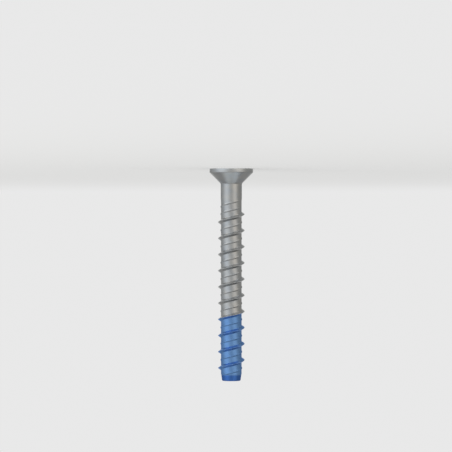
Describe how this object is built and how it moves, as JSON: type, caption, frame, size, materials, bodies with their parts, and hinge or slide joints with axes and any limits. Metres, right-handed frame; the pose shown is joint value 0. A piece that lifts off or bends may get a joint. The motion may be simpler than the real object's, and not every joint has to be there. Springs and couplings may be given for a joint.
{
  "type": "concrete screw",
  "caption": "Countersunk concrete screw with a six-lobe recess, a smooth neck, a high main thread with a low thread between its turns, and a blue coated end.",
  "frame": {"origin": "centre of the flat top of the head, on which the screw stands", "axes": "+Z along the screw's axis, from the head to the flat end; the main thread begins on the -X side"},
  "size_m": [0.0122, 0.0122, 0.06],
  "materials": {
    "zinc_plated_steel": "satin",
    "blue_coat": "satin"
  },
  "bodies": {
    "root": {"concrete_screw": "zinc_plated_steel"}
  },
  "joints": []
}
